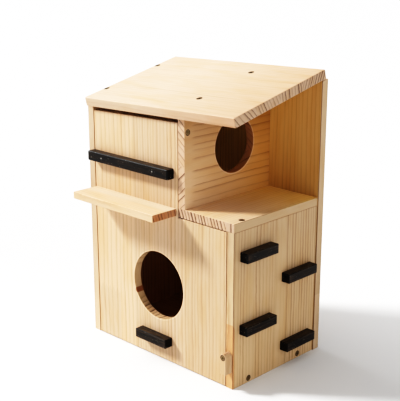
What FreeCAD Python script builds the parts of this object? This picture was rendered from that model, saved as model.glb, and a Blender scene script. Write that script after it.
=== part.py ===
import FreeCAD, Part
import Sketcher
import math
import os

# Two-level wooden feeder and nest box. Lengths in millimetres, angles in degrees.
# +X runs to the right of the front, +Y to the rear and +Z up.
# The origin is the centre of the box's footprint, on the ground.

SIZES = {
    # carcass, all of one board stock
    "box_width": 278.0,
    "box_depth": 180.0,
    "board_thickness": 12.0,
    "board_edge_radius": 0.5,
    "platform_height": 214.0,
    "divider_offset": 179.5,
    # plane under the roof board: height at the front left corner, and two slopes
    "front_height": 340.4,
    "roof_pitch_angle": 12.5,
    "roof_fall_angle": 1.9,
    # roof board
    "roof_thickness": 13.0,
    "roof_front_overhang": 6.0,
    "roof_left_inset": 4.5,
    "roof_right_overhang": 6.3,
    "roof_rear_lap": 3.5,
    "roof_edge_radius": 1.5,
    # back board: how far it stays under the roof's plane and passes the right side board
    "back_top_gap": 2.8,
    "back_right_overhang": 1.3,
    # door
    "door_thickness": 12.0,
    "door_side_gap": 1.0,
    "door_foot_gap": 1.0,
    "door_top_gap": 6.8,
    "door_stop_gap": 0.5,
    "door_hole_radius": 48.3,
    "door_hole_height": 107.4,
    "pivot_drop": 12.6,
    # entry hole in the divider
    "divider_hole_radius": 37.9,
    "divider_hole_rise": 71.2,
    "divider_hole_rear_distance": 73.2,
    # ledge on the door
    "ledge_depth": 42.0,
    "ledge_thickness": 10.0,
    "ledge_left_margin": 0.5,
    "ledge_right_margin": 3.5,
    "ledge_rise": 0.5,
    "ledge_edge_radius": 0.8,
    "ledge_screw_inset": 27.0,
    # bar on the door
    "bar_section": 14.0,
    "bar_depth": 12.0,
    "bar_left_lap": 2.5,
    "bar_right_margin": 7.2,
    "bar_rise": 39.5,
    "bar_edge_radius": 2.0,
    "bar_nail_inset": 29.0,
    # perches, all cut from one batten
    "perch_length": 60.0,
    "perch_section": 13.0,
    "perch_edge_radius": 1.0,
    "perch_nail_inset": 15.0,
    "perch_foot_height": 24.6,
    "front_perch_shift": 4.0,
    "side_perch_top_margin": 27.3,
    "side_perch_front_margin": 12.0,
    "side_perch_rear_margin": 24.5,
    # turn button
    "button_width": 10.0,
    "button_length": 28.5,
    "button_thickness": 12.0,
    "button_gap": 0.3,
    "button_edge_margin": 0.5,
    "button_edge_radius": 0.8,
    "button_pivot_height": 47.5,
    # countersunk wood screw with a cross recess
    "screw_length": 30.0,
    "screw_tip_length": 5.0,
    "screw_radius": 1.6,
    "screw_head_radius": 3.1,
    "screw_head_depth": 1.9,
    "recess_span": 3.2,
    "recess_width": 0.8,
    "recess_depth": 1.1,
    # brad nail
    "nail_length": 21.0,
    "nail_tip_length": 2.0,
    "nail_radius": 0.7,
    "nail_head_radius": 1.1,
    "nail_head_depth": 0.8,
    # play of a fixed and of a turning fastener in its hole
    "seat_clearance": 0.05,
    "running_clearance": 0.08,
    # places of the screws, from the front, the rear or the board that they hold
    "roof_screw_left_offset": 8.8,
    "left_roof_screw_front_margin": 31.0,
    "left_roof_screw_rear_margin": 38.0,
    "divider_roof_screw_front_margin": 36.6,
    "divider_roof_screw_rear_margin": 30.5,
    "bottom_screw_front_margin": 31.0,
    "bottom_screw_rear_margin": 34.0,
    "platform_screw_front_margin": 20.5,
    "divider_screw_front_margin": 40.0,
    "divider_screw_rear_margin": 38.0,
    "back_screw_foot_height": 45.0,
    "back_screw_platform_drop": 24.0,
    "back_screw_top_drop": 6.5,
    "back_screw_bottom_inset": 80.0,
}

SIDE_PERCHES = 4
FULL_TURN = 360.0
OUTSIDE = 1e-4

doc = FreeCAD.newDocument("feeder_box")
subparts = {}


def make_sheet():
    """Sheet of the driving sizes, one named cell each."""
    new_sheet = doc.addObject("Spreadsheet::Sheet", "Sizes")
    for row, (name, value) in enumerate(SIZES.items(), start=1):
        new_sheet.set(f"A{row}", name)
        new_sheet.set(f"B{row}", str(value))
        new_sheet.setAlias(f"B{row}", name)
    doc.recompute()
    return new_sheet


sheet = make_sheet()


# Expressions on the sheet, and the places that several sub-parts share.

def size(name):
    return f"Sizes.{name}"


def add(*terms):
    return "(" + " + ".join(str(term) for term in terms) + ")"


def less(first, *others):
    return "(" + " - ".join([str(first)] + [str(term) for term in others]) + ")"


def half(expression):
    return f"({expression} / 2)"


def number(expression):
    """Value of an expression on the sheet, as a plain number."""
    value = sheet.evalExpression(str(expression))
    return float(getattr(value, "Value", value))


BOARD = size("board_thickness")
EASING = size("board_edge_radius")
DOOR = size("door_thickness")
GAP = size("door_side_gap")
RIGHT = half(size("box_width"))
LEFT = f"(-{RIGHT})"
REAR = half(size("box_depth"))
FRONT = f"(-{REAR})"
INNER_REAR = less(REAR, BOARD)
SIDE_DEPTH = less(size("box_depth"), BOARD)
LEFT_BOARD_MIDDLE = add(LEFT, half(BOARD))
RIGHT_BOARD_MIDDLE = less(RIGHT, half(BOARD))
DIVIDER_LEFT = add(LEFT, size("divider_offset"))
DIVIDER_RIGHT = add(DIVIDER_LEFT, BOARD)
DIVIDER_MIDDLE = add(DIVIDER_LEFT, half(BOARD))
PLATFORM_FOOT = size("platform_height")
PLATFORM_TOP = add(PLATFORM_FOOT, BOARD)
FALL_SLOPE = f"tan({size('roof_fall_angle')} * 1deg)"
PITCH_SLOPE = f"(tan({size('roof_pitch_angle')} * 1deg) / cos({size('roof_fall_angle')} * 1deg))"
ROOF_BODY = "roof_board_body"

DOOR_LEFT = add(LEFT, BOARD, GAP)
DOOR_BACK = add(FRONT, DOOR)
DOOR_UPPER_WIDTH = less(size("divider_offset"), BOARD, GAP, GAP)
DOOR_LOWER_WIDTH = less(size("box_width"), BOARD, BOARD, GAP, GAP)
PIVOT_Y = add(FRONT, half(DOOR))
PIVOT_HEIGHT = less(size("front_height"), size("pivot_drop"))

LEDGE_LEFT = add(DOOR_LEFT, size("ledge_left_margin"))
LEDGE_LENGTH = less(DOOR_UPPER_WIDTH, size("ledge_left_margin"), size("ledge_right_margin"))
LEDGE_FOOT = add(PLATFORM_FOOT, size("ledge_rise"))
BAR_LEFT = less(DOOR_LEFT, size("bar_left_lap"))
BAR_LENGTH = less(add(DOOR_UPPER_WIDTH, size("bar_left_lap")), size("bar_right_margin"))
BAR_FOOT = add(LEDGE_FOOT, size("ledge_thickness"), size("bar_rise"))

PERCH = size("perch_section")
FRONT_PERCH_LEFT = f"(-{half(size('perch_length'))} - {size('front_perch_shift')})"

BUTTON_X = add(RIGHT, f"-{BOARD}", size("button_edge_margin"), half(size("button_width")))
BUTTON_BACK = less(FRONT, size("button_gap"))
BUTTON_FACE = less(BUTTON_BACK, size("button_thickness"))


# Steps that every sub-part shares.

def bind(thing, prop, expression):
    thing.setExpression(prop, str(expression))


def placement(x, y, z, turn="rotation(0; 0; 0)"):
    return f"placement(vector({x}; {y}; {z}); {turn})"


def new_body(name):
    body = doc.addObject("PartDesign::Body", name)
    doc.recompute()
    return body


def new_sketch(body, name, role, x=0, y=0, z=0):
    """Sketch on an origin plane of its body, moved to a place in that plane's own axes."""
    plane = next(item for item in body.Origin.OriginFeatures if item.Role == role)
    sketch = body.newObject("Sketcher::SketchObject", name)
    sketch.AttachmentSupport = [(plane, "")]
    sketch.MapMode = "FlatFace"
    bind(sketch, "AttachmentOffset.Base.x", x)
    bind(sketch, "AttachmentOffset.Base.y", y)
    bind(sketch, "AttachmentOffset.Base.z", z)
    return sketch


def drive(sketch, kind, references, expression):
    """Add one dimension to a sketch and tie it to an expression."""
    index = sketch.addConstraint(Sketcher.Constraint(kind, *references, number(expression)))
    sketch.setExpression(f"Constraints[{index}]", str(expression))


def hold_point(sketch, geometry, point, place):
    """Tie a point of a geometry to a place in the sketch, given as two expressions."""
    for kind, axis, expression in (("DistanceX", -2, place[0]), ("DistanceY", -1, place[1])):
        if number(expression) == 0:
            sketch.addConstraint(Sketcher.Constraint("PointOnObject", geometry, point, axis))
        else:
            drive(sketch, kind, (-1, 1, geometry, point), expression)


def draw_outline(sketch, places):
    """Closed outline through places, each a pair of expressions."""
    points = [FreeCAD.Vector(number(x), number(y), 0) for x, y in places]
    followers = points[1:] + points[:1]
    lines = [sketch.addGeometry(Part.LineSegment(start, end), False)
             for start, end in zip(points, followers)]
    for line, follower in zip(lines, lines[1:] + lines[:1]):
        sketch.addConstraint(Sketcher.Constraint("Coincident", line, 2, follower, 1))
    for line, place in zip(lines, places):
        hold_point(sketch, line, 1, place)


def draw_circle(sketch, place, radius):
    centre = FreeCAD.Vector(number(place[0]), number(place[1]), 0)
    circle = Part.Circle(centre, FreeCAD.Vector(0, 0, 1), number(radius))
    index = sketch.addGeometry(circle, False)
    hold_point(sketch, index, 3, place)
    drive(sketch, "Radius", (index,), radius)


def rectangle(wide, high):
    return [(0, 0), (wide, 0), (wide, high), (0, high)]


def pad(body, sketch, length):
    feature = body.newObject("PartDesign::Pad", f"{body.Name}_pad")
    feature.Profile = sketch
    bind(feature, "Length", length)
    return feature


def cut_through(body, sketch, name):
    """Pocket a sketch through the whole body, both ways, and make sure that it cuts."""
    doc.recompute()
    volume_before = body.Shape.Volume
    pocket = body.newObject("PartDesign::Pocket", name)
    pocket.Profile = sketch
    pocket.Type = "ThroughAll"
    pocket.Midplane = True
    doc.recompute()
    if body.Shape.Volume >= volume_before:
        raise RuntimeError(f"{name} cuts nothing")


def box_body(name, corner, extent):
    """Rectangular board; its low corner and its extent are expressions."""
    body = new_body(f"{name}_body")
    sketch = new_sketch(body, f"{name}_outline", "XY_Plane", *corner)
    draw_outline(sketch, rectangle(extent[0], extent[1]))
    pad(body, sketch, extent[2])
    return body


def upright_body(name, corner, extent, roof_gap=0):
    """Board on end: its footprint is padded up to the plane that lies a gap under the roof."""
    body = new_body(f"{name}_body")
    sketch = new_sketch(body, f"{name}_footprint", "XY_Plane", *corner)
    draw_outline(sketch, rectangle(*extent))
    plane = body.newObject("PartDesign::Plane", f"{name}_top_plane")
    bind(plane, "Placement", f"{ROOF_BODY}.Placement * {placement(0, 0, f'-{roof_gap}')}")
    doc.recompute()
    feature = body.newObject("PartDesign::Pad", f"{name}_pad")
    feature.Profile = sketch
    feature.Type = "UpToFace"
    feature.UpToFace = (plane, [""])
    return body


def round_edges(body, radius, wanted=None):
    """Fillet the edges of the body's last feature, or those for which wanted(edge) holds."""
    doc.recompute()
    base = body.Tip
    edges = [f"Edge{index}" for index, edge in enumerate(base.Shape.Edges, start=1)
             if wanted is None or wanted(edge)]
    fillet = body.newObject("PartDesign::Fillet", f"{body.Name}_fillet")
    fillet.Base = (base, edges)
    bind(fillet, "Radius", radius)


def stands_in_front(edge):
    """Whether an edge lies ahead of the box's front plane, wholly or in part."""
    return edge.BoundBox.YMin < number(FRONT) - OUTSIDE


def stands_out_right(edge):
    return edge.BoundBox.XMax > number(RIGHT) + OUTSIDE


def is_on_button_face(edge):
    return edge.BoundBox.YMax < number(BUTTON_FACE) + OUTSIDE


def is_outside_the_step(edge):
    """Whether an edge isn't the one inside the corner of the door's step."""
    corner = number(add(DOOR_LEFT, DOOR_UPPER_WIDTH)), number(less(PLATFORM_FOOT, GAP))
    box = edge.BoundBox
    return math.dist(corner, (box.XMin, box.ZMin)) + math.dist(corner, (box.XMax, box.ZMax)) > OUTSIDE


def finish(name, shape_object):
    shape_object.Label = name
    subparts[name] = shape_object


# Fasteners: a master of each kind, and a master of each hole that one sits or turns in.

def turned_body(name, profile):
    """Solid of revolution about Z from a half profile of (radius, height) pairs."""
    body = new_body(name)
    sketch = new_sketch(body, f"{name}_profile", "XZ_Plane")
    draw_outline(sketch, profile)
    turning = body.newObject("PartDesign::Revolution", f"{name}_turning")
    turning.Profile = sketch
    turning.ReferenceAxis = (sketch, ["V_Axis"])
    turning.Angle = FULL_TURN
    return body


def fastener_profile(kind, growth=0):
    """Point, shank and countersunk head, pointing down from height 0, grown by a clearance."""
    shank = add(size(f"{kind}_radius"), growth)
    head = add(size(f"{kind}_head_radius"), growth)
    return [
        (0, f"(-{size(f'{kind}_length')} - {growth})"),
        (shank, less(size(f"{kind}_tip_length"), size(f"{kind}_length"))),
        (shank, f"(-{size(f'{kind}_head_depth')})"),
        (head, 0),
    ]


def fastener_body(kind):
    return turned_body(kind, fastener_profile(kind) + [(0, 0)])


def hole_body(kind, name, clearance):
    """Room for a fastener; it reaches a clearance above the face that the head is flush with."""
    profile = fastener_profile(kind, clearance)
    head = profile[-1][0]
    return turned_body(f"{kind}_{name}", profile + [(head, clearance), (0, clearance)])


def cut_cross_recess(body):
    """Cross recess for the driver in a screw's head."""
    arm = half(size("recess_span"))
    side = half(size("recess_width"))
    quarter = [(side, side), (side, arm), (f"-{side}", arm)]
    sketch = new_sketch(body, "recess_outline", "XY_Plane")
    outline = []
    for _ in range(4):
        outline += quarter
        quarter = [(f"(-{y})", x) for x, y in quarter]
    draw_outline(sketch, outline)
    doc.recompute()
    volume_before = body.Shape.Volume
    pocket = body.newObject("PartDesign::Pocket", "recess")
    pocket.Profile = sketch
    bind(pocket, "Length", size("recess_depth"))
    doc.recompute()
    if body.Shape.Volume >= volume_before:
        raise RuntimeError("the cross recess cuts nothing")


def make_masters():
    masters = {"screw": fastener_body("screw"), "nail": fastener_body("nail")}
    cut_cross_recess(masters["screw"])
    for kind in ("screw", "nail"):
        masters[f"{kind}_seat"] = hole_body(kind, "seat", size("seat_clearance"))
    masters["screw_bearing"] = hole_body("screw", "bearing", size("running_clearance"))
    return masters


# Turns for a fastener that is drawn pointing down: the way that it points afterwards.
TO_LEFT = "rotation(vector(0; 1; 0); 90)"
TO_RIGHT = "rotation(vector(0; 1; 0); -90)"
TO_REAR = "rotation(vector(1; 0; 0); 90)"
TO_FRONT = "rotation(vector(1; 0; 0); -90)"
UPWARD = "rotation(vector(1; 0; 0); 180)"


class Fasteners:
    """A group of equal fasteners: their places, their node and the holes for them."""

    def __init__(self, masters, kind, name, places):
        self.masters = masters
        self.kind = kind
        self.name = name
        self.places = places
        finish(name, self.copies(masters[kind], name))

    def copies(self, master, name):
        group = doc.addObject("Part::Compound", name)
        links = []
        for index, place in enumerate(self.places, start=1):
            link = doc.addObject("App::Link", f"{name}_{index}")
            link.LinkedObject = master
            link.LinkTransform = False
            bind(link, "Placement", place)
            links.append(link)
        group.Links = links
        return group

    def holes(self, fit="seat"):
        return self.copies(self.masters[f"{self.kind}_{fit}"], f"{self.name}_{fit}")


def drill(name, body, hole_groups):
    """The finished sub-part: a body with the holes of its fasteners cut out."""
    holes = doc.addObject("Part::Compound", f"{name}_holes")
    holes.Links = hole_groups
    board = doc.addObject("Part::Cut", f"{name}_drilled")
    board.Base = body
    board.Tool = holes
    finish(name, board)


def two_ends(start, length, front_margin, rear_margin):
    """Places a margin in from each end of a length."""
    return [add(start, front_margin), less(add(start, length), rear_margin)]


def on_side_board(margin_name):
    """Front and rear place along a side board, from its two named margins."""
    return two_ends(FRONT, SIDE_DEPTH, size(f"{margin_name}_front_margin"),
                    size(f"{margin_name}_rear_margin"))


def on_roof(x, y):
    """Place on the roof's top face, square to it, over a place in the box's plan."""
    across = less(x, add(LEFT, size("roof_left_inset")))
    along = less(y, less(FRONT, size("roof_front_overhang")))
    across = f"({across} / cos({size('roof_fall_angle')} * 1deg))"
    along = f"({along} / cos({size('roof_pitch_angle')} * 1deg))"
    return f"{ROOF_BODY}.Placement * {placement(across, along, size('roof_thickness'))}"


def roof_screw_places():
    """One pair into the left side board and one into the divider."""
    left = add(LEFT, size("roof_screw_left_offset"))
    pairs = ((left, "left_roof_screw"), (DIVIDER_MIDDLE, "divider_roof_screw"))
    return [on_roof(x, y) for x, margin_name in pairs for y in on_side_board(margin_name)]


def bottom_screw_places():
    sides = ((LEFT, TO_RIGHT), (RIGHT, TO_LEFT))
    return [placement(x, y, half(BOARD), turn)
            for x, turn in sides for y in on_side_board("bottom_screw")]


def divider_screw_places():
    return [placement(DIVIDER_MIDDLE, y, PLATFORM_FOOT, UPWARD)
            for y in on_side_board("divider_screw")]


def back_screw_places():
    """Through the back board into each board that meets it."""
    foot = size("back_screw_foot_height")
    middle = less(PLATFORM_FOOT, size("back_screw_platform_drop"))
    top = less(size("front_height"), size("back_screw_top_drop"))
    inset = size("back_screw_bottom_inset")
    places = [(LEFT_BOARD_MIDDLE, z) for z in (foot, middle, top)]
    places += [(RIGHT_BOARD_MIDDLE, z) for z in (foot, middle)]
    places += [(DIVIDER_MIDDLE, top)]
    places += [(half(add(DIVIDER_RIGHT, RIGHT)), add(PLATFORM_FOOT, half(BOARD)))]
    places += [(x, half(BOARD)) for x in (add(LEFT, BOARD, inset), less(RIGHT, BOARD, inset))]
    return [placement(x, REAR, z, TO_FRONT) for x, z in places]


def pivot_screw_places():
    return [placement(LEFT, PIVOT_Y, PIVOT_HEIGHT, TO_RIGHT),
            placement(DIVIDER_RIGHT, PIVOT_Y, PIVOT_HEIGHT, TO_LEFT)]


def ledge_screw_places():
    """From inside the door, one near each end of the ledge and one in the middle."""
    inset = size("ledge_screw_inset")
    columns = two_ends(LEDGE_LEFT, LEDGE_LENGTH, inset, inset)
    columns.append(add(LEDGE_LEFT, half(LEDGE_LENGTH)))
    height = add(LEDGE_FOOT, half(size("ledge_thickness")))
    return [placement(x, DOOR_BACK, height, TO_FRONT) for x in columns]


def side_perch_rows():
    """Front end of a side perch in the front row and in the rear row."""
    rear_end = less(REAR, size("side_perch_rear_margin"))
    return add(FRONT, size("side_perch_front_margin")), less(rear_end, size("perch_length"))


def side_perch_places():
    """Front end and underside of each side perch, from the top one down, rows alternating."""
    rows = side_perch_rows()
    top = less(PLATFORM_FOOT, size("side_perch_top_margin"), PERCH)
    step = f"({less(top, size('perch_foot_height'))} / {SIDE_PERCHES - 1})"
    return [(rows[index % 2], less(top, f"{index} * {step}")) for index in range(SIDE_PERCHES)]


def side_nail_places():
    inset = size("perch_nail_inset")
    face = add(RIGHT, PERCH)
    return [placement(face, y, add(foot, half(PERCH)), TO_LEFT)
            for front, foot in side_perch_places()
            for y in two_ends(front, size("perch_length"), inset, inset)]


def front_perch_nail_places():
    inset = size("perch_nail_inset")
    height = add(size("perch_foot_height"), half(PERCH))
    return [placement(x, less(FRONT, PERCH), height, TO_REAR)
            for x in two_ends(FRONT_PERCH_LEFT, size("perch_length"), inset, inset)]


def bar_nail_places():
    inset = size("bar_nail_inset")
    height = add(BAR_FOOT, half(size("bar_section")))
    return [placement(x, less(FRONT, size("bar_depth")), height, TO_REAR)
            for x in two_ends(BAR_LEFT, BAR_LENGTH, inset, inset)]


def make_fasteners(masters):
    platform_screw_y = add(FRONT, size("platform_screw_front_margin"))
    platform_screw = placement(RIGHT_BOARD_MIDDLE, platform_screw_y, PLATFORM_TOP)
    button_screw = placement(BUTTON_X, BUTTON_FACE, size("button_pivot_height"), TO_REAR)
    groups = {
        "roof": ("screw", "roof_screws", roof_screw_places()),
        "bottom": ("screw", "bottom_board_screws", bottom_screw_places()),
        "platform": ("screw", "platform_screw", [platform_screw]),
        "divider": ("screw", "divider_foot_screws", divider_screw_places()),
        "back": ("screw", "back_board_screws", back_screw_places()),
        "pivot": ("screw", "door_pivot_screws", pivot_screw_places()),
        "ledge": ("screw", "ledge_screws", ledge_screw_places()),
        "button": ("screw", "turn_button_screw", [button_screw]),
        "side": ("nail", "side_perch_nails", side_nail_places()),
        "perch": ("nail", "front_perch_nails", front_perch_nail_places()),
        "bar": ("nail", "door_bar_nails", bar_nail_places()),
    }
    return {key: Fasteners(masters, *group) for key, group in groups.items()}


# Carcass boards.

def make_roof_body():
    """Board with eased edges, tipped up to the rear and up to the right."""
    width = add(size("box_width"), f"-{size('roof_left_inset')}", size("roof_right_overhang"))
    run = add(size("roof_front_overhang"), SIDE_DEPTH, size("roof_rear_lap"))
    length = f"({width} / cos({size('roof_fall_angle')} * 1deg))"
    slope_length = f"({run} / cos({size('roof_pitch_angle')} * 1deg))"
    body = box_body("roof_board", (0, 0, 0), (length, slope_length, size("roof_thickness")))
    round_edges(body, size("roof_edge_radius"))
    low_corner = (f"({size('front_height')} + {size('roof_left_inset')} * {FALL_SLOPE}"
                  f" - {size('roof_front_overhang')} * {PITCH_SLOPE})")
    turn = f"rotation(0; -{size('roof_fall_angle')}; {size('roof_pitch_angle')})"
    bind(body, "Placement", placement(add(LEFT, size("roof_left_inset")),
                                      less(FRONT, size("roof_front_overhang")), low_corner, turn))
    return body


def make_left_side_board(fasteners):
    body = upright_body("left_side_board", (LEFT, FRONT), (BOARD, SIDE_DEPTH))
    round_edges(body, EASING)
    groups = [fasteners[key].holes() for key in ("roof", "bottom", "back", "pivot")]
    drill("left_side_board", body, groups)


def make_right_side_board(fasteners):
    """Lower board under the platform."""
    body = box_body("right_side_board", (less(RIGHT, BOARD), FRONT, 0),
                    (BOARD, SIDE_DEPTH, PLATFORM_FOOT))
    round_edges(body, EASING)
    groups = [fasteners[key].holes() for key in ("bottom", "back", "platform", "button", "side")]
    drill("right_side_board", body, groups)


def make_back_board(fasteners):
    width = add(size("box_width"), size("back_right_overhang"))
    body = upright_body("back_board", (LEFT, INNER_REAR), (width, BOARD), size("back_top_gap"))
    round_edges(body, EASING)
    drill("back_board", body, [fasteners["back"].holes()])


def make_bottom_board(fasteners):
    """Floor between the side boards; its front edge stops the door."""
    front = add(DOOR_BACK, size("door_stop_gap"))
    body = box_body("bottom_board", (add(LEFT, BOARD), front, 0),
                    (less(size("box_width"), BOARD, BOARD), less(INNER_REAR, front), BOARD))
    round_edges(body, EASING)
    drill("bottom_board", body, [fasteners["bottom"].holes(), fasteners["back"].holes()])


def make_platform_board(fasteners):
    """Porch floor on the right side board; the divider stands on its left end."""
    body = box_body("platform_board", (DIVIDER_LEFT, FRONT, PLATFORM_FOOT),
                    (less(RIGHT, DIVIDER_LEFT), SIDE_DEPTH, BOARD))
    round_edges(body, EASING)
    groups = [fasteners[key].holes() for key in ("platform", "divider", "back")]
    drill("platform_board", body, groups)


def make_divider_board(fasteners):
    """Upright between the upper chamber and the porch, with the round entry hole."""
    body = upright_body("divider_board", (DIVIDER_LEFT, FRONT, PLATFORM_TOP), (BOARD, SIDE_DEPTH))
    outline = new_sketch(body, "divider_hole_outline", "YZ_Plane", INNER_REAR, PLATFORM_TOP,
                         DIVIDER_LEFT)
    centre = (f"(-{size('divider_hole_rear_distance')})", size("divider_hole_rise"))
    draw_circle(outline, centre, size("divider_hole_radius"))
    cut_through(body, outline, "divider_hole")
    round_edges(body, EASING)
    groups = [fasteners[key].holes() for key in ("roof", "divider", "back", "pivot")]
    drill("divider_board", body, groups)


# Door and what it carries.

def make_front_door(fasteners):
    """One L-shaped board on two pivot screws; its top edge follows the roof's cross fall."""
    body = new_body("front_door_body")
    outline = new_sketch(body, "door_outline", "XZ_Plane", DOOR_LEFT, 0, f"(-{DOOR_BACK})")
    foot = size("door_foot_gap")
    shoulder = less(PLATFORM_FOOT, GAP)
    left_top = (f"({size('front_height')} - {size('door_top_gap')}"
                f" + ({BOARD} + {GAP}) * {FALL_SLOPE})")
    right_top = f"({left_top} + {DOOR_UPPER_WIDTH} * {FALL_SLOPE})"
    draw_outline(outline, [
        (0, foot), (DOOR_LOWER_WIDTH, foot), (DOOR_LOWER_WIDTH, shoulder),
        (DOOR_UPPER_WIDTH, shoulder), (DOOR_UPPER_WIDTH, right_top), (0, left_top)])
    hole_centre = (f"(-{DOOR_LEFT})", size("door_hole_height"))
    draw_circle(outline, hole_centre, size("door_hole_radius"))
    pad(body, outline, DOOR)
    round_edges(body, EASING, is_outside_the_step)
    groups = [fasteners["pivot"].holes("bearing")]
    groups += [fasteners[key].holes() for key in ("ledge", "perch", "bar")]
    drill("front_door", body, groups)


def make_door_ledge(fasteners):
    """Landing ledge at the height of the porch floor."""
    depth = size("ledge_depth")
    body = box_body("door_ledge", (LEDGE_LEFT, less(FRONT, depth), LEDGE_FOOT),
                    (LEDGE_LENGTH, depth, size("ledge_thickness")))
    round_edges(body, size("ledge_edge_radius"), stands_in_front)
    drill("door_ledge", body, [fasteners["ledge"].holes()])


def make_door_bar(fasteners):
    """Long bar across the upper part of the door."""
    depth = size("bar_depth")
    body = box_body("door_bar", (BAR_LEFT, less(FRONT, depth), BAR_FOOT),
                    (BAR_LENGTH, depth, size("bar_section")))
    round_edges(body, size("bar_edge_radius"), stands_in_front)
    drill("door_bar", body, [fasteners["bar"].holes()])


def make_front_perch(fasteners):
    """Short perch under the door's entry hole."""
    body = box_body("front_perch", (FRONT_PERCH_LEFT, less(FRONT, PERCH), size("perch_foot_height")),
                    (size("perch_length"), PERCH, PERCH))
    round_edges(body, size("perch_edge_radius"), stands_in_front)
    drill("front_perch", body, [fasteners["perch"].holes()])


# Right side: climbing perches and the catch that holds the door shut.

def make_side_perches(fasteners):
    for index, (front, foot) in enumerate(side_perch_places(), start=1):
        name = f"side_perch_{index}"
        body = box_body(name, (RIGHT, front, foot), (PERCH, size("perch_length"), PERCH))
        round_edges(body, size("perch_edge_radius"), stands_out_right)
        drill(name, body, [fasteners["side"].holes()])


def draw_button(sketch):
    """Flat foot, straight sides and a half round top about the screw."""
    radius = half(size("button_width"))
    foot = less(radius, size("button_length"))
    side = number(radius)
    low = number(foot)
    corners = [FreeCAD.Vector(-side, 0, 0), FreeCAD.Vector(-side, low, 0),
               FreeCAD.Vector(side, low, 0), FreeCAD.Vector(side, 0, 0)]
    left, bottom, right = [sketch.addGeometry(Part.LineSegment(start, end), False)
                           for start, end in zip(corners, corners[1:])]
    circle = Part.Circle(FreeCAD.Vector(0, 0, 0), FreeCAD.Vector(0, 0, 1), side)
    arc = sketch.addGeometry(Part.ArcOfCircle(circle, 0, math.pi), False)
    sketch.addConstraint([
        Sketcher.Constraint("Coincident", left, 2, bottom, 1),
        Sketcher.Constraint("Coincident", bottom, 2, right, 1),
        Sketcher.Constraint("Tangent", right, 2, arc, 1),
        Sketcher.Constraint("Tangent", left, 1, arc, 2),
        Sketcher.Constraint("Coincident", arc, 3, -1, 1),
        Sketcher.Constraint("Horizontal", bottom),
        Sketcher.Constraint("Vertical", left),
    ])
    drive(sketch, "Radius", (arc,), radius)
    drive(sketch, "DistanceY", (-1, 1, left, 2), foot)


def make_turn_button(fasteners):
    """Wooden catch that hangs from one screw; a quarter turn lays it over the door."""
    body = new_body("turn_button_body")
    outline = new_sketch(body, "button_outline", "XZ_Plane", BUTTON_X,
                         size("button_pivot_height"), f"(-{BUTTON_BACK})")
    draw_button(outline)
    pad(body, outline, size("button_thickness"))
    round_edges(body, size("button_edge_radius"), is_on_button_face)
    drill("turn_button", body, [fasteners["button"].holes("bearing")])


def check_model():
    """Stop if any object failed, or any sub-part has no sound solid."""
    for item in doc.Objects:
        if "Invalid" in item.State or "Error" in item.State:
            raise RuntimeError(f"{item.Name} failed: {item.State}")
    for name, item in subparts.items():
        if item.Shape.isNull() or not item.Shape.isValid() or not item.Shape.Solids:
            raise RuntimeError(f"{name} has no sound shape")


def export_subparts():
    os.makedirs("parts", exist_ok=True)
    for name, item in subparts.items():
        item.Shape.exportStep(f"parts/{name}.step")
        print(name, len(item.Shape.Solids), "solids", round(item.Shape.Volume, 1), "mm3")


roof_body = make_roof_body()
groups_of_fasteners = make_fasteners(make_masters())
drill("roof_board", roof_body, [groups_of_fasteners["roof"].holes()])
make_left_side_board(groups_of_fasteners)
make_right_side_board(groups_of_fasteners)
make_back_board(groups_of_fasteners)
make_bottom_board(groups_of_fasteners)
make_platform_board(groups_of_fasteners)
make_divider_board(groups_of_fasteners)
make_front_door(groups_of_fasteners)
make_door_ledge(groups_of_fasteners)
make_door_bar(groups_of_fasteners)
make_front_perch(groups_of_fasteners)
make_side_perches(groups_of_fasteners)
make_turn_button(groups_of_fasteners)
doc.recompute()
check_model()
export_subparts()
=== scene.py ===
"""Squirrel feeder box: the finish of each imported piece, and the light, floor and camera."""

import math
from collections import namedtuple

import bpy
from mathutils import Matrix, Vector


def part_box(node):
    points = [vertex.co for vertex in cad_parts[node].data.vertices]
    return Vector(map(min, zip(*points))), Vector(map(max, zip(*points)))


MM = 0.001
IMAGE_HEIGHT = 401

# Board directions in the row frame
X = Vector((1, 0, 0))
Y = Vector((0, 1, 0))
Z = Vector((0, 0, 1))

ROOF_PITCH = math.radians(12.5)
ROOF_FALL = math.radians(1.9)
ROOF_ALONG = Vector((math.cos(ROOF_FALL), 0, math.sin(ROOF_FALL)))
ROOF_UP_SLOPE = Vector((0, math.cos(ROOF_PITCH), math.sin(ROOF_PITCH)))


# Shader graphs

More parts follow.
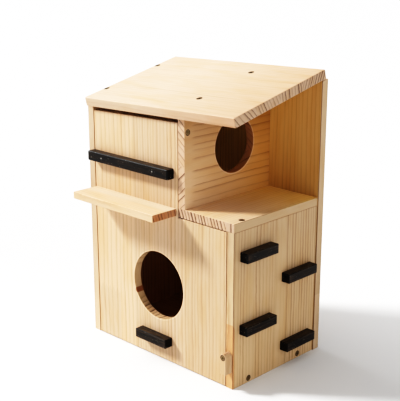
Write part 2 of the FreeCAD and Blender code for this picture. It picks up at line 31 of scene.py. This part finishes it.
class Graph:
    """A node tree that gets its nodes one by one, each linked as it is made."""

    def __init__(self, tree):
        self.tree = tree

    def add(self, kind, inputs=(), **settings):
        """Adds a node. Its inputs pair a socket's name or number with a value or another node's output."""
        node = self.tree.nodes.new("ShaderNode" + kind)
        for name, value in settings.items():
            setattr(node, name, value)
        for socket, value in dict(inputs).items():
            self.feed(node.inputs[socket], value)
        return node

    def feed(self, socket, value):
        if isinstance(value, bpy.types.NodeSocket):
            self.tree.links.new(value, socket)
        else:
            socket.default_value = value

    def math(self, operation, a, b=0.0, c=0.0, clamp=False):
        node = self.add("Math", {0: a, 1: b, 2: c}, operation=operation, use_clamp=clamp)
        return node.outputs[0]

    def dot(self, a, b):
        node = self.add("VectorMath", {0: a, 1: b}, operation="DOT_PRODUCT")
        return node.outputs["Value"]

    def join(self, x, y=0.0, z=0.0):
        return self.add("CombineXYZ", {0: x, 1: y, 2: z}).outputs[0]

    def noise(self, vector, scale=1.0, detail=2.0, roughness=0.5):
        """Noise from 0 to 1, about half on average."""
        node = self.add("TexNoise", {"Vector": vector, "Scale": scale, "Detail": detail,
                                     "Roughness": roughness, "Distortion": 0.0})
        return node.outputs[0]

    def dice(self, vector):
        """Three even random numbers that change only where the vector does."""
        node = self.add("TexWhiteNoise", {"Vector": vector}, noise_dimensions="3D")
        parts = self.add("SeparateColor", {0: node.outputs["Color"]})
        return parts.outputs[0], parts.outputs[1], parts.outputs[2]

    def ramp(self, value, *stops, kind="LINEAR"):
        """A colour ramp. Each stop is a place from 0 to 1 and a grey or an RGB colour."""
        node = self.add("ValToRGB", {0: value})
        node.color_ramp.interpolation = kind
        elements = node.color_ramp.elements
        elements.remove(elements[1])
        elements[0].position, elements[0].color = stops[0][0], rgba(stops[0][1])
        for place, colour in stops[1:]:
            elements.new(place).color = rgba(colour)
        return node.outputs[0]

    def range(self, value, low, high, to_low=0.0, to_high=1.0, kind="LINEAR"):
        node = self.add("MapRange", {0: value, 1: low, 2: high, 3: to_low, 4: to_high},
                        interpolation_type=kind)
        return node.outputs[0]

    def mix(self, share, a, b, blend="MIX"):
        node = self.add("Mix", data_type="RGBA", blend_type=blend)
        for socket, value in zip((0, 6, 7), (share, a, b)):
            self.feed(node.inputs[socket], value if socket == 0 else colour_value(value))
        return node.outputs[2]


def rgba(colour):
    """A grey level or an RGB triple as the four numbers of a colour socket."""
    if isinstance(colour, (int, float)):
        colour = (colour,) * 3
    return (*colour, 1.0)


def colour_value(value):
    return value if isinstance(value, bpy.types.NodeSocket) else rgba(value)


def srgb(red, green, blue):
    """A colour given as 0 to 255, in linear light."""
    def linear(level):
        level /= 255
        return level / 12.92 if level <= 0.04045 else ((level + 0.055) / 1.055) ** 2.4
    return linear(red), linear(green), linear(blue)


def new_material(name):
    """An empty material with its shader, as a graph and that shader."""
    material = bpy.data.materials.new(name)
    material.use_nodes = True
    graph = Graph(material.node_tree)
    return material, graph, material.node_tree.nodes["Principled BSDF"]


# Wood

# What late wood, fine fibres, cloudy patches and the painted shade at seams leave of a board's colour
LATE_RATIO = (0.56, 0.43, 0.32)
FINE_RATIO = (0.95, 0.93, 0.90)
CLOUD_RATIO = (0.96, 0.90, 0.80)
SEAM_SHADE_RATIO = (0.35, 0.28, 0.22)

# End grain between its lines and on them, a knot, dirt, and a painted highlight on the rim of a bore
END_TINT = (0.88, 0.83, 0.82)
END_LATE = srgb(98, 70, 50)
KNOT = srgb(150, 98, 64)
GRIME = srgb(74, 56, 40)
RIM_HIGHLIGHT = srgb(226, 200, 172)

# How far in mm the year lines swing and tremble, and how long and wide the patches are in which they do
WANDER = 4.0
WANDER_SPAN = (170, 60)
TREMBLE = 0.9
TREMBLE_SPAN = (14, 5)

# How unlike each other the rings are in width, and over how many of them that changes
UNEVENNESS = 1.3
UNEVEN_PACE = 0.45

# How far late wood reaches back into its ring in mm, how dark it is from the ring's end back to there, and
# what the weakest ring keeps of it
LATE_REACH = 4.0
LATE_SHAPE = ((0.0, 0.0), (0.08, 0.9), (0.16, 1.0), (0.35, 0.5), (0.7, 0.12), (1.0, 0.0))
WEAKEST_RING = 0.25

# The length in mm over which a line fades and returns, and its weakest and strongest
FADE_LENGTH = 90
FADE_LOW = 0.55
FADE_HIGH = 1.05

# How long and wide fibres and cloudy patches are, in mm
FIBRE_SPAN = (70, 0.8)
CLOUD_SPAN = (60, 14)

# Roughness of early and late wood, their gloss, and how strong and how high their relief is
EARLY_ROUGHNESS = 0.6
LATE_ROUGHNESS = 0.48
WOOD_GLOSS = 0.3
WOOD_BUMP = 0.12
RELIEF_HEIGHT = 0.3 * MM

# The teeth of a finger joint, in mm
TOOTH_WIDTH = 4.0
TOOTH_LENGTH = 9.0

# How far in mm the painted highlight on a bore's rim and the bore's wall reach past its radius
BORE_HIGHLIGHT_REACH = 1.3
BORE_WALL = 0.3

# Over how many mm things fade: a round spot's edge, a face's rim, and the lines beside a bare length
SPOT_FADE = 0.5
RIM_FADE = 0.5
BARE_FADE = 4

# How deep in mm a face's own colour ends and is full, and the same for the painted shade at a seam, under a
# face and beside an edge
SKIN_ENDS, SKIN_FULL = 1.0, 0.4
SEAM_DEPTH_ENDS, SEAM_DEPTH_FULL = 0.8, 0.2
SEAM_WIDTH_ENDS, SEAM_WIDTH_FULL = 0.9, 0.4

# The cosine of the angle to a direction at which a surface starts to face it, and faces it in full
FACING_STARTS = 0.55
FACING_FULL = 0.9

# One glued strip: where it starts in mm across the board, its colour, the width of its year rings in mm,
# how strong its lines are from 0 to 1, and how far the rings lean through the board
Strip = namedtuple("Strip", "start tint ring lines lean")

# The skin of one face: its side of the board, its colour, where along the grain it starts and is full, and
# how far it keeps from the long edges
Face = namedtuple("Face", "side tint start end rim", defaults=(-20, -10, 0))

# A round spot or bore: its place in mm along and across the grain, its radius and its colour
Spot = namedtuple("Spot", "along across radius tint")

# Painted light and shade over a board: a slow change of colour along the grain or across it, from a ratio at
# one place in mm to none at another
ShadeDrift = namedtuple("ShadeDrift", "ratio start end crosswise", defaults=(False,))


class Pine:
    """The places, in mm, and the year rings of one edge-glued board."""

    def __init__(self, graph, node, along, across, strips, seed):
        self.graph = graph
        self.seed = seed
        low, high = (Vector(corner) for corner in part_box(node))
        place = graph.add("TexCoord")
        self.point = place.outputs["Object"]
        self.normal = place.outputs["Normal"]
        self.along_grain = self.measure(along, low)
        self.across_grain = self.measure(across, low)
        self.through = self.measure(along.cross(across), (low + high) / 2)
        self.width = abs((high - low).dot(across)) / MM
        self.half_thickness = abs((high - low).dot(along.cross(across))) / 2 / MM
        self.share = graph.math("DIVIDE", self.across_grain, self.width)
        self.edge_distance = graph.math("MINIMUM", self.across_grain,
                                        graph.math("SUBTRACT", self.width, self.across_grain))
        self.rings, self.late = self.year_lines(strips)

    def measure(self, direction, start):
        """The distance from a start along a direction, in mm."""
        reach = self.graph.dot(self.point, direction / MM)
        return self.graph.math("SUBTRACT", reach, start.dot(direction) / MM)

    def by_strip(self, strips, value):
        """A colour that is constant over each strip."""
        stops = [(strip.start / self.width, value(strip)) for strip in strips]
        return self.graph.ramp(self.share, *stops, kind="CONSTANT")

    def stretched(self, length, width):
        """A place scaled so that noise on it is that long along the grain and that wide across it, in mm."""
        graph = self.graph
        return graph.join(graph.math("DIVIDE", self.along_grain, length),
                          graph.math("DIVIDE", self.across_grain, width),
                          graph.math("ADD", graph.math("DIVIDE", self.through, width), self.seed))

    def year_lines(self, strips):
        """Dark late wood from 0 to 1, in full and as strong as each strip shows it."""
        graph = self.graph
        shape = graph.add("SeparateColor", {0: self.by_strip(strips, ring_shape)})
        density, lines, lean = shape.outputs[0], shape.outputs[1], shape.outputs[2]
        late = self.late_wood(self.years(density, lean), density)
        return late, graph.math("MULTIPLY", late, lines, clamp=True)

    def years(self, density, lean):
        """The count of rings from the board's edge, which grows unevenly."""
        graph = self.graph
        lean = graph.range(lean, 0.0, 1.0, -1.0, 1.0)
        wander = graph.noise(self.stretched(*WANDER_SPAN), detail=1.0)
        wander = graph.range(wander, 0.0, 1.0, -WANDER, WANDER)
        tremble = graph.noise(self.stretched(*TREMBLE_SPAN))
        tremble = graph.range(tremble, 0.0, 1.0, -TREMBLE, TREMBLE)
        depth = graph.math("ADD", self.across_grain, graph.math("MULTIPLY", lean, self.through))
        depth = graph.math("ADD", depth, graph.math("ADD", wander, tremble))
        years = graph.math("MULTIPLY", depth, density)
        pace = graph.join(graph.math("MULTIPLY", years, UNEVEN_PACE), self.seed)
        uneven = graph.noise(pace, detail=1.0)
        return graph.math("ADD", years, graph.math("MULTIPLY", uneven, UNEVENNESS))

    def late_wood(self, years, density):
        """Late wood from 0 to 1. Each ring has its own strength, and ends more sharply than it starts."""
        graph = self.graph
        ahead = graph.math("DIVIDE", graph.math("SUBTRACT", 1.0, graph.math("FRACT", years)), density)
        late = graph.ramp(graph.math("DIVIDE", ahead, LATE_REACH), *LATE_SHAPE)
        strength = graph.dice(graph.join(graph.math("FLOOR", years), self.seed, 0.5))[0]
        late = graph.math("MULTIPLY", late, graph.range(strength, 0.0, 1.0, WEAKEST_RING, 1.0))
        length = graph.math("DIVIDE", self.along_grain, FADE_LENGTH)
        fade = graph.noise(graph.join(length, years, self.seed), detail=1.0)
        return graph.math("MULTIPLY", late, graph.range(fade, 0.3, 0.7, FADE_LOW, FADE_HIGH))


def ring_shape(strip):
    """Ring density, line strength and lean as three numbers from 0 to 1."""
    return 1 / strip.ring, strip.lines, (strip.lean + 1) / 2


def pine(name, node, along, across, strips, seed=0, joint=0, below=(), faces=(), bores=(), spots=(),
         shade_drift=None, end_tint=END_TINT, edge_tint=(1, 1, 1), late_ratio=LATE_RATIO, end_lines=1.6, seam_shade=0.0,
         bare=0):
    """Edge-glued pine with its grain along one direction and its strips side by side across it.

    A finger joint at a height in mm parts it from other lengths below. Seam shade is how dark the painted
    shade in the corners of the long edges is. Bare is the length in mm, from the start of the grain, that
    shows no lines.
    """
    material, graph, shader = new_material(name)
    wood = Pine(graph, node, along, across, strips, seed)
    tint = board_tint(wood, strips, joint, below, faces, bores, seam_shade)
    lined = graph.range(wood.along_grain, bare - BARE_FADE, bare + BARE_FADE)
    late = graph.math("MULTIPLY", wood.late, lined)
    # Painted light and shade over the board, where it has a drift
    side = shade_drifted(wood, tint, shade_drift) if shade_drift else tint
    side = graph.mix(facing(wood, across), side, edge_tint, "MULTIPLY")
    side = graph.mix(late, side, late_ratio, "MULTIPLY")
    ends = graph.mix(graph.math("MULTIPLY", wood.rings, end_lines, clamp=True),
                     graph.mix(1.0, tint, end_tint, "MULTIPLY"), END_LATE)
    fibre = graph.noise(wood.stretched(*FIBRE_SPAN), detail=3.0, roughness=0.6)
    colour = weathered(wood, graph.mix(facing(wood, along), side, ends), fibre)
    for spot in spots:
        colour = graph.mix(round_mask(wood, spot, 0.0), colour, spot.tint)
    graph.feed(shader.inputs["Base Color"], colour)
    graph.feed(shader.inputs["Roughness"], graph.range(late, 0.0, 1.0, EARLY_ROUGHNESS, LATE_ROUGHNESS))
    graph.feed(shader.inputs["Normal"], wood_bump(graph, fibre, late))
    shader.inputs["Specular IOR Level"].default_value = WOOD_GLOSS
    return material


def board_tint(wood, strips, joint, below, faces, bores, seam_shade):
    """The board's colour without its lines: its strips, then its joint, faces, bores with a painted highlight
    on each rim, and painted shade at the seams.
    """
    graph = wood.graph
    tint = wood.by_strip(strips, lambda strip: strip.tint)
    if below:
        tint = graph.mix(finger_joint(wood, joint), tint, wood.by_strip(below, lambda strip: strip.tint))
    for face in faces:
        tint = graph.mix(face_mask(wood, face), tint, face.tint)
    for bore in bores:
        # A pale ring paints a highlight on the bore's rim; the bore's wall then gets its own colour
        tint = graph.mix(round_mask(wood, bore, BORE_HIGHLIGHT_REACH), tint, RIM_HIGHLIGHT)
        tint = graph.mix(round_mask(wood, bore, BORE_WALL), tint, bore.tint)
    # Painted shade darkens the corners of the long edges, where boards meet
    if seam_shade:
        tint = graph.mix(seam_shade_mask(wood, seam_shade), tint, SEAM_SHADE_RATIO, "MULTIPLY")
    return tint


def weathered(wood, colour, fibre):
    """A colour with its fine fibres and cloudy patches."""
    graph = wood.graph
    cloud = graph.noise(wood.stretched(*CLOUD_SPAN))
    colour = graph.mix(graph.range(fibre, 0.35, 0.8), colour, FINE_RATIO, "MULTIPLY")
    return graph.mix(graph.range(cloud, 0.45, 0.75), colour, CLOUD_RATIO, "MULTIPLY")


def wood_bump(graph, fibre, late):
    """The normal of planed wood: fibres stand up a little, and late wood lies lower."""
    relief = graph.math("SUBTRACT", graph.math("MULTIPLY", fibre, 0.6), graph.math("MULTIPLY", late, 0.4))
    bump = graph.add("Bump", {"Height": relief, "Strength": WOOD_BUMP, "Distance": RELIEF_HEIGHT})
    return bump.outputs[0]


def facing(wood, direction):
    """1 on surfaces that face along a direction or against it, and 0 on those beside it."""
    graph = wood.graph
    turned = graph.math("ABSOLUTE", graph.dot(wood.normal, direction))
    return graph.range(turned, FACING_STARTS, FACING_FULL, kind="SMOOTHSTEP")


def shade_drifted(wood, tint, shade_drift):
    """A colour that changes slowly over the board: painted light and shade."""
    graph = wood.graph
    place = wood.across_grain if shade_drift.crosswise else wood.along_grain
    changed = graph.add("VectorMath", {0: tint, 1: shade_drift.ratio}, operation="MULTIPLY").outputs[0]
    return graph.mix(graph.range(place, shade_drift.start, shade_drift.end), changed, tint)


def face_mask(wood, face):
    """1 on one face of the board, and 0 inside it, on the other face and on its rim."""
    graph = wood.graph
    depth = graph.math("MULTIPLY", wood.through, face.side)
    skin = graph.range(depth, wood.half_thickness - SKIN_ENDS, wood.half_thickness - SKIN_FULL)
    length = graph.range(wood.along_grain, face.start, face.end)
    inside = graph.range(wood.edge_distance, face.rim - RIM_FADE, face.rim)
    return graph.math("MULTIPLY", skin, graph.math("MULTIPLY", length, inside))


def finger_joint(wood, height):
    """1 below a toothed joint at a height in mm, and 0 above it."""
    graph = wood.graph
    tooth = graph.math("PINGPONG", graph.math("DIVIDE", wood.across_grain, TOOTH_WIDTH), 1.0)
    edge = graph.math("ADD", wood.along_grain, graph.math("MULTIPLY", tooth, TOOTH_LENGTH))
    return graph.math("LESS_THAN", edge, height)


def round_mask(wood, spot, margin):
    """1 inside a round spot and a margin round it, fading out past that."""
    graph = wood.graph
    side = graph.math("SUBTRACT", wood.across_grain, spot.across)
    length = graph.math("SUBTRACT", wood.along_grain, spot.along)
    distance = graph.add("VectorMath", {0: graph.join(side, length)}, operation="LENGTH")
    reach = spot.radius + margin
    return graph.range(distance.outputs["Value"], reach + SPOT_FADE, reach)


def seam_shade_mask(wood, strength):
    """Painted shade in the eased corners of the two long edges, where boards meet."""
    graph = wood.graph
    depth = graph.math("ABSOLUTE", wood.through)
    starts, full = wood.half_thickness - SEAM_DEPTH_ENDS, wood.half_thickness - SEAM_DEPTH_FULL
    corner = graph.range(depth, starts, full, 0.0, strength)
    beside = graph.range(wood.edge_distance, SEAM_WIDTH_ENDS, SEAM_WIDTH_FULL)
    return graph.math("MULTIPLY", corner, beside)


# Black paint and metals

# How fine the patterns are, per metre: paint across its stick and along it, its specks, and a metal's stains
PAINT_ACROSS = 900
PAINT_ALONG = 30
SPECKS = 420.0
STAINS = 900.0

# The paint where it is thick and thin, where it is worn off, and the dust on it
THICK_PAINT = srgb(5, 4, 4)
THIN_PAINT = srgb(17, 14, 12)
WORN_PAINT = srgb(84, 66, 50)
DUST = srgb(110, 104, 96)
PAINT_GLOSS = 0.25
PAINT_BUMP = 0.35


def black_paint(name, along):
    """Thin satin black paint on a sawn stick: the grain shows through, and the long edges are worn."""
    material, graph, shader = new_material(name)
    place = graph.add("TexCoord")
    point = place.outputs["Object"]
    stretch = Vector((PAINT_ACROSS,) * 3) - along * (PAINT_ACROSS - PAINT_ALONG)
    stretched = graph.add("VectorMath", {0: point, 1: stretch}, operation="MULTIPLY").outputs[0]
    grain = graph.noise(stretched, detail=3.0, roughness=0.6)
    specks = graph.noise(point, SPECKS, detail=1.0)
    colour = graph.mix(graph.range(grain, 0.45, 0.8), THICK_PAINT, THIN_PAINT)
    colour = graph.mix(worn_edges(graph, place, grain, along), colour, WORN_PAINT)
    colour = graph.mix(graph.range(specks, 0.7, 0.74), colour, DUST)
    bump = graph.add("Bump", {"Height": grain, "Strength": PAINT_BUMP, "Distance": RELIEF_HEIGHT})
    graph.feed(shader.inputs["Base Color"], colour)
    graph.feed(shader.inputs["Roughness"], graph.range(grain, 0.3, 0.8, 0.38, 0.6))
    graph.feed(shader.inputs["Normal"], bump.outputs[0])
    shader.inputs["Specular IOR Level"].default_value = PAINT_GLOSS
    return material


def worn_edges(graph, place, grain, along):
    """1 where paint is rubbed off the long edges of a stick, and 0 on its faces and ends."""
    edge = graph.range(graph.add("NewGeometry").outputs["Pointiness"], 0.52, 0.6)
    worn = graph.math("MULTIPLY", edge, graph.range(grain, 0.4, 0.7), clamp=True)
    end = graph.math("ABSOLUTE", graph.dot(place.outputs["Normal"], along))
    return graph.math("MULTIPLY", worn, graph.range(end, FACING_FULL, FACING_STARTS))


def metal(name, light, dark, roughness):
    """A plated fastener, unevenly tarnished between a light and a dark colour."""
    material, graph, shader = new_material(name)
    point = graph.add("TexCoord").outputs["Object"]
    stain = graph.noise(point, STAINS, detail=3.0, roughness=0.6)
    graph.feed(shader.inputs["Base Color"], graph.mix(graph.range(stain, 0.35, 0.65), dark, light))
    graph.feed(shader.inputs["Roughness"], graph.range(stain, 0.3, 0.7, roughness, roughness + 0.2))
    shader.inputs["Metallic"].default_value = 1.0
    return material


# Each board's own finish

# Wood colours, from the whitest board to the inside. The three porch shade tints are deeper colours that
# paint the warm shade inside the porch
WHITE_WOOD = srgb(216, 194, 169)
CREAM = srgb(217, 188, 157)
PALE = srgb(209, 182, 153)
SAND = srgb(206, 179, 151)
TAN = srgb(199, 172, 142)
AMBER = srgb(186, 146, 108)
PORCH_SHADE_HONEY = srgb(206, 160, 98)
PORCH_SHADE_STRAW = srgb(219, 178, 110)
PORCH_SHADE_WHEAT = srgb(230, 194, 124)
BUFF = srgb(190, 164, 133)
INNER = srgb(212, 175, 136)

# What reddish end grain leaves of a board's colour
RED_END = (0.66, 0.46, 0.34)

# The two entry holes on their boards. The upper hole's darker, more orange wall is partly its end grain and
# partly painted warm shade of the porch
LOWER_HOLE = Spot(along=106.4, across=126, radius=48.3, tint=srgb(206, 178, 142))
UPPER_HOLE = Spot(along=94.8, across=71.2, radius=37.9, tint=srgb(186, 136, 92))

# The dirt round a countersunk screw reaches a little past its head
DIRT_RADIUS = 3.9

# Half a board's thickness, which is how far a screw sits from the edge when it holds the board beside it
HALF_BOARD = 6


def screw_dirt(*places):
    """A dirty ring round each screw that sits at those places along and across the grain."""
    return tuple(Spot(along, across, DIRT_RADIUS, GRIME) for along, across in places)


def left_side_finish(node):
    strips = (Strip(0, PALE, 8, 0.5, 0.2), Strip(48, PALE, 6, 0.8, 0.4), Strip(96, CREAM, 7, 0.7, -0.3))
    # The drift is painted light, lighter towards the bottom of the board
    return pine("PineLeftSide", node, Z, Y, strips, seed=3, shade_drift=ShadeDrift((1.18, 1.2, 1.2), 0, 150),
                faces=(Face(-1, INNER),), edge_tint=(0.94, 0.95, 0.97), seam_shade=1.0)


def right_side_finish(node):
    """An amber length is let into its front edge, below the joint."""
    strips = (Strip(0, BUFF, 6, 1.0, 0.3), Strip(82, BUFF, 10, 0.3, 0.1), Strip(100, BUFF, 5.6, 1.0, -0.3))
    below = (Strip(0, AMBER, 6, 1.0, 0.3), Strip(2, BUFF, 6, 1.0, 0.3))
    # The drift is painted light, lighter towards the bottom of the board
    return pine("PineRightSide", node, Z, Y, strips, seed=11, joint=90, below=below,
                shade_drift=ShadeDrift((1.3, 1.3, 1.25), 0, 200), faces=(Face(1, INNER),),
                spots=screw_dirt((HALF_BOARD, 31), (HALF_BOARD, 134)), edge_tint=(1.0, 1.04, 1.08), seam_shade=1.0)


def back_finish(node):
    """A paler length ends its right strip, below the joint."""
    strips = (Strip(0, TAN, 7, 0.7, 0.2), Strip(60, SAND, 6, 0.9, -0.2), Strip(120, TAN, 8, 0.7, 0.3),
              Strip(188, TAN, 6.5, 0.6, 0.1), Strip(240, TAN, 7, 0.55, 0.4))
    below = (Strip(0, TAN, 7, 0.7, 0.2), Strip(240, PALE, 7, 0.55, 0.4))
    # The straw front face is a deeper tint that paints the warm shade inside the porch, and the drift paints
    # shade, darker towards the right edge
    return pine("PineBack", node, Z, X, strips, seed=5, joint=85, below=below,
                shade_drift=ShadeDrift((0.82, 0.8, 0.88), 270, 190, crosswise=True), faces=(Face(-1, PORCH_SHADE_STRAW, rim=1),),
                edge_tint=(1.12, 1.16, 1.06), seam_shade=1.0)


def bottom_finish(node):
    strips = (Strip(0, SAND, 6, 0.9, 0.3), Strip(80, PALE, 8, 0.7, -0.4))
    return pine("PineBottom", node, X, Y, strips, seed=8, faces=(Face(1, INNER),))


def platform_finish(node):
    strips = (Strip(0, CREAM, 5.8, 0.4, -0.35), Strip(84, PALE, 9, 0.35, 0.0))
    # The wheat top face is a deeper tint that paints the warm shade on the porch floor, deepening towards the
    # rear
    faces = (Face(-1, PORCH_SHADE_WHEAT, start=50, end=150), Face(1, INNER, start=13, end=14))
    return pine("PinePlatform", node, Y, X, strips, seed=2, end_lines=2.2, end_tint=(0.8, 0.77, 0.81),
                faces=faces, spots=screw_dirt((20.5, 92.5)), edge_tint=(0.78, 0.77, 0.72), seam_shade=0.6)


def divider_finish(node):
    strips = (Strip(0, CREAM, 10.5, 0.7, -0.9), Strip(30, CREAM, 10.5, 0.9, -0.9),
              Strip(57, CREAM, 8.7, 1.0, 0.8))
    # The honey face on the porch side is a deeper tint that paints the warm shade inside the porch, deepening
    # towards the rear, and the drift paints shade, darker towards the top
    faces = (Face(1, PORCH_SHADE_HONEY, start=10, end=150), Face(-1, INNER, start=12, end=13))
    return pine("PineDivider", node, Y, Z, strips, seed=4, bare=16, late_ratio=(0.36, 0.24, 0.15),
                shade_drift=ShadeDrift((0.66, 0.58, 0.45), 115, 10, crosswise=True), end_tint=(0.85, 0.81, 0.85),
                faces=faces, bores=(UPPER_HOLE,), spots=screw_dirt((HALF_BOARD, 101.8)))


def roof_finish(node):
    strips = (Strip(0, WHITE_WOOD, 7.5, 0.35, 0.7), Strip(45, WHITE_WOOD, 6, 0.5, 0.3),
              Strip(90, WHITE_WOOD, 6, 0.3, -0.1), Strip(135, WHITE_WOOD, 5.5, 0.35, -0.7))
    screws = screw_dirt((HALF_BOARD, 40.3), (HALF_BOARD, 141.7), (182.8, 47.3), (182.7, 150.7))
    # The drift is painted shade, darker towards the right end of the roof
    return pine("PineRoof", node, ROOF_ALONG, ROOF_UP_SLOPE, strips, seed=6,
                shade_drift=ShadeDrift((0.84, 0.73, 0.67), 280, 100), end_tint=(0.75, 0.68, 0.65),
                edge_tint=(0.92, 0.87, 0.85), spots=screws)


def door_finish(node):
    """Only its left strip changes colour at the joint."""
    left = Strip(0, CREAM, 9.3, 0.7, 0.2)
    others = (Strip(46, CREAM, 8.0, 0.8, -0.2), Strip(78, PALE, 5.4, 1.0, 0.1),
              Strip(122, SAND, 6.4, 1.0, -0.3), Strip(177, TAN, 6.3, 1.0, 0.3))
    return pine("PineDoor", node, Z, X, (left, *others), seed=9, joint=80,
                below=(left._replace(tint=PALE), *others), faces=(Face(1, INNER),), bores=(LOWER_HOLE,),
                spots=(Spot(88.6, 84.6, 4.6, KNOT),), end_lines=3.0)


def ledge_finish(node):
    strips = (Strip(0, CREAM, 5.0, 0.5, 0.25), Strip(24, WHITE_WOOD, 5.4, 0.4, 0.25))
    return pine("PineLedge", node, X, Y, strips, seed=12, end_tint=RED_END)


def button_finish(node):
    return pine("PineButton", node, Z, X, (Strip(0, TAN, 3.0, 0.6, 0.2),), seed=14,
                spots=screw_dirt((23.5, 5)))


BOARD_FINISHES = {
    "left_side_board": left_side_finish,
    "right_side_board": right_side_finish,
    "back_board": back_finish,
    "bottom_board": bottom_finish,
    "platform_board": platform_finish,
    "divider_board": divider_finish,
    "roof_board": roof_finish,
    "front_door": door_finish,
    "door_ledge": ledge_finish,
    "turn_button": button_finish,
}


# Every piece's finish

def dress():
    """Gives every CAD node its material."""
    finishes = {name: finish(name) for name, finish in BOARD_FINISHES.items()}
    painted_x = black_paint("BlackAlongX", X)
    painted_y = black_paint("BlackAlongY", Y)
    screw = metal("ScrewMetal", srgb(172, 150, 112), srgb(92, 74, 54), 0.35)
    nail = metal("NailMetal", srgb(90, 86, 82), srgb(40, 36, 34), 0.4)
    bright_nail = metal("BrightNailMetal", srgb(190, 186, 180), srgb(120, 116, 110), 0.4)
    for name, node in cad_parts.items():
        if name in finishes:
            wear_material(node, finishes[name])
        elif name in ("door_bar", "front_perch"):
            wear_material(node, painted_x)
        elif name == "door_bar_nails":
            wear_material(node, bright_nail)
        elif name.endswith("nails"):
            wear_material(node, nail)
        elif name.startswith("side_perch_"):
            wear_material(node, painted_y)
        else:
            wear_material(node, screw)


def wear_material(node, material):
    """Puts one material on the whole of a node."""
    slots = node.data.materials
    slots.clear()
    slots.append(material)
    for polygon in node.data.polygons:
        polygon.material_index = 0


# Camera, light and floor

# The camera's focal length in pixels of the picture, its place in metres and where it looks
FOCAL_PIXELS = 933.8
SENSOR = 36.0
CAMERA_PLACE = Vector((0.8739, -0.9045, 0.5808))
CAMERA_YAW = math.radians(44.27)
CAMERA_PITCH = math.radians(16.45)


def make_camera():
    data = bpy.data.cameras.new("Camera")
    data.sensor_width = SENSOR
    data.lens = FOCAL_PIXELS / IMAGE_HEIGHT * SENSOR
    camera = bpy.data.objects.new("Camera", data)
    camera.location = CAMERA_PLACE
    camera.rotation_euler = (math.pi / 2 - CAMERA_PITCH, 0, CAMERA_YAW)
    bpy.context.collection.objects.link(camera)
    bpy.context.scene.camera = camera


SURROUND_LIGHT = 0.3


def soft_sun(name, azimuth, elevation, spread, strength):
    """Even light from a wide source far away. In degrees, azimuth 0 is the front and -90 the left."""
    data = bpy.data.lights.new(name, "SUN")
    data.angle = math.radians(spread)
    data.energy = strength
    sun = bpy.data.objects.new(name, data)
    turn, rise = math.radians(azimuth), math.radians(elevation)
    source = Vector((math.sin(turn) * math.cos(rise), -math.cos(turn) * math.cos(rise), math.sin(rise)))
    sun.rotation_euler = (-source).to_track_quat("-Z", "Y").to_euler()
    sun.location = source * 2
    bpy.context.collection.objects.link(sun)


def make_lights():
    """A strong soft light from the left front, weak ones that fill its shadows, and a pale surround."""
    soft_sun("KeyLeftFront", -56, 38, 10, 3.8)
    soft_sun("SideLeft", -80, 35, 40, 1.2)
    soft_sun("Overhead", 0, 85, 60, 0.8)
    soft_sun("FillRight", 80, 22, 40, 0.65)
    world = bpy.data.worlds.new("World")
    world.use_nodes = True
    background = world.node_tree.nodes["Background"]
    background.inputs["Color"].default_value = rgba(1.0)
    background.inputs["Strength"].default_value = SURROUND_LIGHT
    bpy.context.scene.world = world


# The scene light that shows as white
WHITE_LEVEL = 1.27

# Pairs of scene light, as a share of that, and how bright the picture shows it
TONES = ((0.03, 0.01), (0.058, 0.03), (0.118, 0.1), (0.199, 0.23), (0.284, 0.38), (0.357, 0.5),
         (0.425, 0.6), (0.549, 0.75), (0.676, 0.85), (0.86, 0.96))


def set_tones():
    """A photographic tone curve, with soft highlights and deep shadows."""
    view = bpy.context.scene.view_settings
    view.view_transform = "Standard"
    view.use_curve_mapping = True
    view.curve_mapping.white_level = (WHITE_LEVEL,) * 3
    points = view.curve_mapping.curves[3].points
    for light, shown in TONES:
        points.new(light, shown)
    view.curve_mapping.update()


FLOOR_REACH = 12.0
FLOOR_GREY = 0.8


def make_floor():
    """A plain pale floor that reaches far past the picture."""
    mesh = bpy.data.meshes.new("Floor")
    corners = [(-FLOOR_REACH, -FLOOR_REACH, 0), (FLOOR_REACH, -FLOOR_REACH, 0),
               (FLOOR_REACH, FLOOR_REACH, 0), (-FLOOR_REACH, FLOOR_REACH, 0)]
    mesh.from_pydata(corners, [], [(0, 1, 2, 3)])
    floor = bpy.data.objects.new("Floor", mesh)
    material, _, shader = new_material("PaleFloor")
    shader.inputs["Base Color"].default_value = rgba(FLOOR_GREY)
    shader.inputs["Roughness"].default_value = 0.9
    mesh.materials.append(material)
    bpy.context.collection.objects.link(floor)


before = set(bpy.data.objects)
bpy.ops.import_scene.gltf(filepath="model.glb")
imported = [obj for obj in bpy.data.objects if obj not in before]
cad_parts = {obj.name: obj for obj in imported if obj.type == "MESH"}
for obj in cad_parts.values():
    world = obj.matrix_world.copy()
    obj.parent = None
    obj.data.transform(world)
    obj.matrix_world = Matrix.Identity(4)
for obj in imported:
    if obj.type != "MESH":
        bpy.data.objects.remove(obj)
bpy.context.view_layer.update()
dress()
make_camera()
make_lights()
make_floor()
set_tones()
